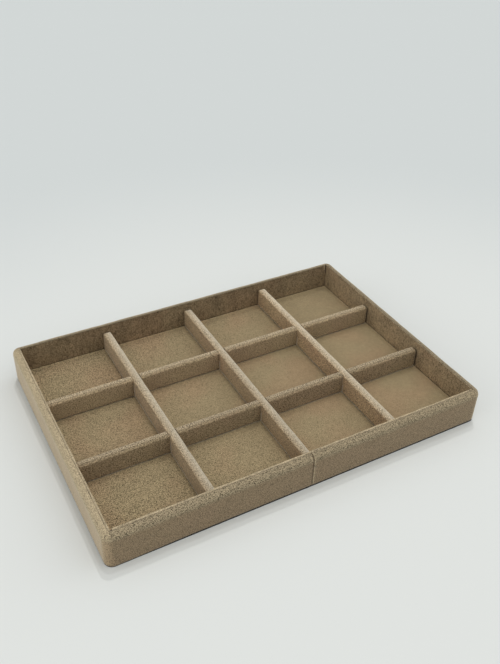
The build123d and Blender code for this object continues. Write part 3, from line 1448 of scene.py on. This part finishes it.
        # Painted light: lighter to the right, darker to the back, lighter beside feet and walls
        # against their shade.
        skin.painted_light = self.painted_right_light * rightwards + self.painted_back_light * backwards
        by_feet = self.painted_foot_light * np.maximum(feet_x, feet_y)
        by_walls = self.painted_wall_light * np.maximum(by_walls_x, by_walls_y)
        skin.painted_light += np.maximum(by_feet, by_walls)
        cut = (high[0] - low[0], high[1] - low[1])
        return self.cloth.cover(skin, self.suede.material(), cut)


@dataclass(frozen=True)
class DividerKind:
    """What the dividers of one direction share.

    Attributes:
        nodes: Their CAD nodes.
        others: The nodes of the dividers that they cross.
        axis: The axis that they run along, 0 for X and 1 for Y.
        slot_on_top: Whether their half-lap slots are open at the top.
        crown: How far the middle of the top stands above its edges.
        lean: Painted light: how much darker one edge of the top is than the other, from 0 to 1.
        lean_span: Where across the top it turns lighter, from -1 to 1.
        painted_far_light: Painted light: how much lighter it looks at the back of the tray than at
            its middle.
        painted_lights: Painted light: how much lighter each one looks.
        reaches: How far the cloth reaches beyond the core's clearance at its two ends.
        seam_depth: How deep the cloth's glued edge lies in the top, along the front.
        suede: Their finish.
        seed: Picks their unevenness.
    """

    nodes: tuple[str, ...]
    others: tuple[str, ...]
    axis: int
    slot_on_top: bool
    crown: float
    lean: float
    lean_span: Span
    painted_far_light: float
    painted_lights: tuple[float, ...]
    reaches: Span
    seam_depth: float
    suede: Suede
    seed: int


@dataclass(frozen=True)
class Divider:
    """The cloth sleeve of one divider, rounded at its top and ends and slotted where it crosses.

    Attributes:
        kind: What it shares with the dividers beside it.
        index: Its place among them.
        edge_radius: Radius along the top and down the ends.
        corner_steps: Stations on each upright edge.
        step: Usual distance between two stations.
        end_fall: How far the top falls towards its ends.
        end_run: How far from its ends it starts to fall, as a multiple of end_fall.
        reach_span: How far from an end the cloth starts to be drawn out, and where it is full.
        slot_clearance: Gap on each side of a crossing divider.
        seam_inset: How far behind the front face the cloth's glued edge lies.
        seam_width: Half the width of the dip along it.
        seam_shade: How dark the painted shade in that dip is.
        unevenness: Usual height of the cloth's slow waves.
        slow_size: Usual distance between two of them.
        edge_unevenness: Usual height of the top edges' own waves.
        edge_size: Usual distance between two of them.
        edge_span: How far below the top they start, and where they are full.
        seed_step: How far apart the seeds of two dividers of one kind are.
        edge_seed: What is added to a divider's seed to pick the top edges' own waves.
        still_width: How far from the middle of the top the waves have their full height.
        top_span: How far below the top the raised nap and painted highlight start, and where they
            are full.
        far_side: Where across it the back or right side starts and is full, from -1 to 1.
        far_calm: How calm the grain is on that side.
        foot_height: How far up from the floor the painted shade reaches.
        end_span: How far from the last end the painted shade starts, and where it is full.
        end_light: How much of that is missing on the top.
    """

    kind: DividerKind
    index: int
    edge_radius: float = 1.4 * MM
    corner_steps: int = 6
    step: float = 2.0 * MM
    end_fall: float = 1.1 * MM
    end_run: float = 1.4
    reach_span: Span = (8 * MM, 2 * MM)
    slot_clearance: float = 0.25 * MM
    seam_inset: float = 2.5 * MM
    seam_width: float = 0.45 * MM
    seam_shade: float = 0.45
    unevenness: float = 0.09 * MM
    slow_size: float = 24 * MM
    edge_unevenness: float = 0.04 * MM
    edge_size: float = 8 * MM
    edge_span: Span = (4 * MM, 0.5 * MM)
    seed_step: int = 7
    edge_seed: int = 3
    still_width: float = 0.8 * MM
    top_span: Span = (1.5 * MM, 0.2 * MM)
    far_side: Span = (0.8, 1.0)
    far_calm: float = 0.35
    foot_height: float = 0.8 * MM
    end_span: Span = (1.2 * MM, 0.5 * MM)
    end_light: float = 0.6

    def section(self, bottom: float, middle: float, top: float, half_width: float) -> Section:
        """Draw half the sleeve's section, from its foot up one side to the middle of the top.

        Between its rounded edges the top is a parabola that stands a crown above them.

        Args:
            bottom: Height of its foot.
            middle: Height at which the slots end.
            top: Height of the top's edges.
            half_width: Half its thickness.

        Returns:
            The section.
        """
        radius = self.edge_radius
        section = join_section(
            straight((0, bottom), (0, middle), steps=6),
            straight((0, middle), (0, top - radius), steps=6),
            bend((radius, top - radius), (radius, radius), (0, 90), steps=8),
            straight((radius, top), (half_width, top), steps=9),
            end=(half_width, top),
        )
        across = np.clip((half_width - section.inset) / (half_width - radius), 0, 1)
        return Section(section.inset, section.height + self.kind.crown * (1 - across**2))

    def build(self, material: bpy.types.Material) -> bpy.types.Object:
        """Args:
            material: The suede of its kind.

        Returns:
            The piece.
        """
        node = self.kind.nodes[self.index]
        core = node.replace("cover", "core")
        cloth = Cloth(node, core, Body.DIVIDER_GRID, "divider_suede", Held.FOLDED)
        low, high = (np.array(corner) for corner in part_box(node))
        centre = (low + high) / 2
        axis = self.kind.axis
        half_length = (high[axis] - low[axis]) / 2
        half_width = (high[1 - axis] - low[1 - axis]) / 2
        slots = []
        for other in self.kind.others:
            first, last = (corner[axis] - centre[axis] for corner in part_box(other))
            slots.append((first - self.slot_clearance, last + self.slot_clearance))
        outline = Outline(
            half_length,
            half_width,
            self.edge_radius,
            self.step,
            self.corner_steps,
            extra=tuple(place for slot in slots for place in slot),
        )
        middle = (low[2] + high[2]) / 2
        section = self.section(low[2], middle, high[2], half_width)
        level = outline.skin(section)
        walk = level[:, :, 0]
        across = section.travel()[None, :] * np.where(level[:, :1, 1] < 0, -1, 1)
        seed = self.kind.seed + self.seed_step * self.index
        lift = self.unevenness * soft_waves(walk, across, self.slow_size, seed)
        start, full = self.edge_span
        on_edge = smooth_step(section.height, high[2] - start, high[2] - full)
        edge_waves = soft_waves(walk, across, self.edge_size, seed + self.edge_seed)
        lift = lift + self.edge_unevenness * on_edge * edge_waves
        lift = lift * smooth_step(half_width - section.inset, 0, self.still_width)
        seam = self.seam(section, level, high[2])
        lift = lift - self.kind.seam_depth * seam
        points = outline.skin(section, lift)
        from_end = np.clip((half_length - np.abs(walk)) / (self.end_run * self.end_fall), 0, 1)
        fall = self.end_fall * (1 - np.sqrt(1 - (1 - from_end) ** 2))
        points[..., 2] -= fall * smooth_step(section.height, middle, high[2])
        start, full = self.reach_span
        near_ends = smooth_step(np.abs(walk), half_length - start, half_length - full)
        first_reach, last_reach = self.kind.reaches
        points[..., 0] += near_ends * np.where(walk < 0, -first_reach, last_reach)
        skin = Skin(f"{node}_cloth", points, closed=True)
        self.cut_slots(skin, level, slots, middle)
        skin.flat = np.dstack(np.broadcast_arrays(walk, across))
        # The top gets the lighter colour of raised nap, with painted light making one edge darker.
        start, full = self.top_span
        top_light = smooth_step(section.height, high[2] - start, high[2] - full)
        sideways = level[..., 1] / half_width * (1 if axis == 0 else -1)
        first, last = self.kind.lean_span
        lit = np.clip((sideways - first) / (last - first), 0, 1)
        skin.nap_and_highlight = top_light * (1 - self.kind.lean * (1 - lit))
        skin.calm = self.far_calm * smooth_step(sideways, *self.far_side) * (1 - top_light)
        # Painted shade at the foot, in the gap at the last end and in the seam's dip.
        foot = smooth_step(section.height, low[2] + self.foot_height, low[2])
        start, full = self.end_span
        at_end = smooth_step(walk, half_length - start, half_length - full)
        at_end = at_end * (1 - self.end_light * top_light)
        skin.painted_shade = np.maximum(np.maximum(foot, at_end), self.seam_shade * seam)
        if axis == 1:
            along_x, along_y, upwards = np.moveaxis(skin.points, -1, 0)
            skin.points = np.dstack([-along_y, along_x, upwards])
        skin.points = skin.points + np.array([centre[0], centre[1], 0])
        # Painted light: lighter towards the back, and by each divider's own amount.
        towards_back = skin.points[..., 1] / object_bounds()[1][1]
        skin.painted_light = self.kind.painted_lights[self.index] + self.kind.painted_far_light * towards_back
        cut = (2 * half_length, 2 * float(section.travel()[-1]))
        return cloth.cover(skin, material, cut)

    def seam(self, section: Section, level: np.ndarray, top: float) -> np.ndarray:
        """Mark the cloth's glued edge: a bell curve over the inset, along the front of the top.

        Args:
            section: The sleeve's section.
            level: Its points without their unevenness.
            top: Height of the divider.

        Returns:
            The mark at each point, 1 along the middle of the glued edge.
        """
        bell = np.exp(-(((section.inset - self.seam_inset) / self.seam_width) ** 2))
        on_top = section.height > top - self.edge_radius / 2
        return bell * on_top * (level[..., 1] < 0) * (self.kind.seam_depth > 0)

    def cut_slots(
        self, skin: Skin, level: np.ndarray, slots: list[Span], middle: float
    ) -> None:
        """Leave out the faces inside each half-lap slot.

        Args:
            skin: The sleeve, still along X.
            level: Its points without their unevenness.
            slots: First and last place of each slot along X.
            middle: Height at which the halves meet.
        """
        even = face_centres(level, closed=True)
        above = even[..., 2] > middle
        open_part = above if self.kind.slot_on_top else ~above
        for first, last in slots:
            inside = (even[..., 0] > first) & (even[..., 0] < last)
            skin.keep &= ~(inside & open_part)


# The lean and the lighter amounts of each kind are painted light.
CROSS_KIND = DividerKind(
    CROSS_NODES,
    LONG_NODES,
    axis=1,
    slot_on_top=False,
    crown=0.35 * MM,
    lean=0.85,
    lean_span=(-1.0, 1.0),
    painted_far_light=0.08,
    painted_lights=(0.0, 0.0, 0.14),
    reaches=(0.0, 0.0),
    seam_depth=0.0,
    suede=CROSS_SUEDE,
    seed=60,
)
LONG_KIND = DividerKind(
    LONG_NODES,
    CROSS_NODES,
    axis=0,
    slot_on_top=True,
    crown=0.1 * MM,
    lean=1.0,
    lean_span=(-0.55, 0.1),
    painted_far_light=0.25,
    painted_lights=(0.0, 0.0),
    reaches=(1.3 * MM, 0.7 * MM),
    seam_depth=0.25 * MM,
    suede=LONG_SUEDE,
    seed=90,
)


class DividerGrid:
    """The five dividers that lift out together."""

    def build(self) -> list[bpy.types.Object]:
        """Build every divider's sleeve.

        Returns:
            The pieces.
        """
        pieces = []
        for kind in (CROSS_KIND, LONG_KIND):
            material = kind.suede.material()
            for index in range(len(kind.nodes)):
                pieces.append(Divider(kind, index).build(material))
        return pieces


class Carcass:
    """The boards and cards under the cloth, which keep their CAD shapes."""

    finishes: dict[Board, tuple[str, ...]] = {
        FIBREBOARD: ("base_board", "_rail", "_core_"),
        BROWN_CARD: ("lining_card", "floor_card"),
        BACKING_CARD: ("backing_sheet",),
    }

    def dress(self, nodes: dict[str, bpy.types.Object]) -> int:
        """Give each board and card its finish.

        Args:
            nodes: The CAD nodes by name.

        Returns:
            How many were dressed.
        """
        count = 0
        for board, words in self.finishes.items():
            material = board.material()
            for name, node in nodes.items():
                if any(word in name for word in words):
                    dress(node, material)
                    count += 1
        return count


@dataclass(frozen=True)
class Glow:
    """A broad soft patch of the sky, brightest in its middle.

    Attributes:
        heading: Where its middle stands, in degrees from +X towards +Y.
        height: How high its middle stands, in degrees.
        strength: Light from its middle.
        narrowness: Power of the cosine by which it fades.
    """

    heading: float
    height: float
    strength: float
    narrowness: float = 4.0

    def middle(self) -> tuple[float, float, float]:
        """Give the direction of its middle.

        Returns:
            The direction, one long.
        """
        heading, height = math.radians(self.heading), math.radians(self.height)
        level = math.cos(height)
        return level * math.cos(heading), level * math.sin(heading), math.sin(height)


@dataclass(frozen=True)
class Lamp:
    """A weak lamp far overhead.

    Attributes:
        back: How far it stands towards the back, in degrees from overhead.
        right: How far it stands towards the right, in degrees from overhead.
        light: Its light on the floor.
        spread: How wide it looks, in degrees.
    """

    back: float
    right: float
    light: float
    spread: float = 0.8

    def hang(self) -> bpy.types.Object:
        """Hang the lamp, so that its beam comes from its own direction.

        Returns:
            The lamp.
        """
        right, back = math.radians(self.right), math.radians(self.back)
        towards = Vector((math.tan(right), math.tan(back), 1.0))
        data = bpy.data.lights.new("lamp", "SUN")
        data.energy = math.pi * self.light * towards.length
        data.angle = math.radians(self.spread)
        lamp = bpy.data.objects.new("lamp", data)
        lamp.rotation_euler = towards.to_track_quat("Z", "Y").to_euler()
        bpy.context.scene.collection.objects.link(lamp)
        return lamp


@dataclass(frozen=True)
class Studio:
    """A plain pale floor under a soft sky of a few broad glows, with two weak lamps overhead.

    Attributes:
        floor_size: Side of the floor.
        floor_lines: Grid lines across it each way.
        floor_roughness: How dull it is.
        floor_colour: Colour of the floor round the tray.
        far_colour: Colour of the floor far away.
        fade_centre: Where the floor has its own colour most.
        fade: First and last distance from there over which its colour changes.
        low_light: Light from every direction.
        glows: The patches of brighter sky.
        lamps: The lamps.
        light_colour: Colour of all that light.
    """

    floor_size: float = 12.0
    floor_lines: int = 9
    floor_roughness: float = 0.7
    floor_colour: Colour = (222, 225, 222)
    far_colour: Colour = (208, 213, 212)
    fade_centre: tuple[float, float, float] = (0.0, -0.2, 0.0)
    fade: Span = (0.33, 0.75)
    low_light: float = 0.05
    glows: tuple[Glow, ...] = (
        Glow(0, 90, 0.30),
        Glow(-90, 45, 1.05),
        Glow(0, 28, 1.20),
        Glow(90, 40, 0.33),
        Glow(180, 8, 1.60),
    )
    lamps: tuple[Lamp, ...] = (Lamp(9.5, 7, 0.09), Lamp(18, 12, 0.12))
    light_colour: Colour = (255, 255, 255)

    def build_floor(self) -> bpy.types.Object:
        """Lay the floor, whose colour fades with the distance from the tray.

        Returns:
            The floor.
        """
        line = np.linspace(-0.5, 0.5, self.floor_lines) * self.floor_size
        x, y = np.meshgrid(line, line, indexing="ij")
        floor = Skin("studio_floor", np.dstack([x, y, np.zeros_like(x)])).build()
        bench = SurfaceBench("studio floor")
        # The floor is painted darker away from the tray, a painted falloff of the light.
        distance = bench.add("VectorMath")
        distance.operation = "DISTANCE"
        distance.inputs[1].default_value = tuple(part / MM for part in self.fade_centre)
        bench.join(bench.place, distance.inputs[0])
        first, last = (reach / MM for reach in self.fade)
        share = bench.spread(distance.outputs["Value"], (first, last))
        colour = bench.mix("MIX", share, self.floor_colour, self.far_colour)
        bench.set(
            {"Base Color": colour, "Roughness": self.floor_roughness, "Specular IOR Level": 0.0}
        )
        dress(floor, bench.material)
        floor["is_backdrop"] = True
        return floor

    def light(self) -> bpy.types.World:
        """Set the sky and the lamps.

        The sky's light is the low light plus, for each glow, its strength times a power of
        the cosine between the direction and the glow's middle. The camera, gloss and glass see
        the sky plain.

        Returns:
            The sky.
        """
        sky = bpy.data.worlds.new("studio sky")
        sky.use_nodes = True
        bench = NodeBench(sky.node_tree)
        heading = bench.add("TexCoord").outputs["Generated"]
        light: Socket | float = self.low_light
        for glow in self.glows:
            facing = bench.add("VectorMath")
            facing.operation = "DOT_PRODUCT"
            facing.inputs[1].default_value = glow.middle()
            bench.join(heading, facing.inputs[0])
            cosine = bench.combine("MAXIMUM", facing.outputs["Value"], 0.0)
            power = bench.combine("POWER", cosine, glow.narrowness)
            scaled = bench.combine("MULTIPLY", power, glow.strength)
            light = bench.combine("ADD", scaled, light)
        path = bench.add("LightPath").outputs
        plain = bench.combine("MAXIMUM", path["Is Camera Ray"], path["Is Glossy Ray"])
        plain = bench.combine("MAXIMUM", plain, path["Is Transmission Ray"])
        shining = bench.add("Background")
        shining.inputs["Color"].default_value = linear(self.light_colour)
        bench.join(light, shining.inputs["Strength"])
        seen = bench.add("Background")
        seen.inputs["Color"].default_value = linear(self.far_colour)
        choose = bench.add("MixShader")
        bench.join(plain, choose.inputs["Fac"])
        bench.join(shining.outputs["Background"], choose.inputs[1])
        bench.join(seen.outputs["Background"], choose.inputs[2])
        output = bench.add("OutputWorld")
        bench.join(choose.outputs["Shader"], output.inputs["Surface"])
        bpy.context.scene.world = sky
        for lamp in self.lamps:
            lamp.hang()
        return sky


@dataclass(frozen=True)
class View:
    """The photograph's viewpoint: above the front left corner, looking down across the tray.

    Attributes:
        place: Where the camera is.
        aim: The point in the middle of the picture.
        roll: How far the camera leans about its own line of sight, in degrees.
        lens: Focal length, in millimetres.
        sensor: Height of the picture behind the lens, in millimetres.
        reach: Nearest and furthest distance that it sees.
    """

    place: tuple[float, float, float] = (-0.2602, -0.4657, 0.4673)
    aim: tuple[float, float, float] = (0.0557, 0.0835, 0.0013)
    roll: float = 2.0
    lens: float = 41.4
    sensor: float = 36.0
    reach: Span = (0.01, 50.0)

    def build(self) -> bpy.types.Object:
        """Place the camera and make it the scene's own.

        Returns:
            The camera.
        """
        data = bpy.data.cameras.new("camera")
        data.sensor_width = self.sensor
        data.lens = self.lens
        data.clip_start, data.clip_end = self.reach
        camera = bpy.data.objects.new("camera", data)
        ahead = (Vector(self.aim) - Vector(self.place)).normalized()
        right = ahead.cross(Vector((0, 0, 1))).normalized()
        up = right.cross(ahead)
        turn = math.radians(self.roll)
        leaning_right = math.cos(turn) * right + math.sin(turn) * up
        leaning_up = math.cos(turn) * up - math.sin(turn) * right
        axes = Matrix((leaning_right, leaning_up, -ahead)).transposed()
        camera.matrix_world = Matrix.Translation(self.place) @ axes.to_4x4()
        bpy.context.scene.collection.objects.link(camera)
        bpy.context.scene.camera = camera
        return camera


def corners(box: tuple[Vector, Vector]) -> list[list[float]]:
    """Turn a box into plain lists of numbers."""
    return [list(corner) for corner in box]


def main() -> None:
    """Build the tray's looks around its frame, and report each piece."""
    logging.basicConfig(level=logging.INFO, format="%(name)s: %(message)s")
    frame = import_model()
    bpy.context.scene.view_settings.view_transform = "Standard"
    LOG.info("%d boards and cards dressed", Carcass().dress(frame["nodes"]))
    pieces = [OuterCover().build()]
    lining = LINING_SUEDE.material()
    pieces += [LiningPanel(side, way).build(lining) for side, way in PAINTED_LIGHTINGS.items()]
    pieces.append(FloorPad().build())
    pieces += DividerGrid().build()
    for piece in pieces:
        LOG.info("%s: %d faces", piece.name, len(piece.data.polygons))
    studio = Studio()
    studio.build_floor()
    studio.light()
    View().build()


if __name__ == "__main__":
    main()
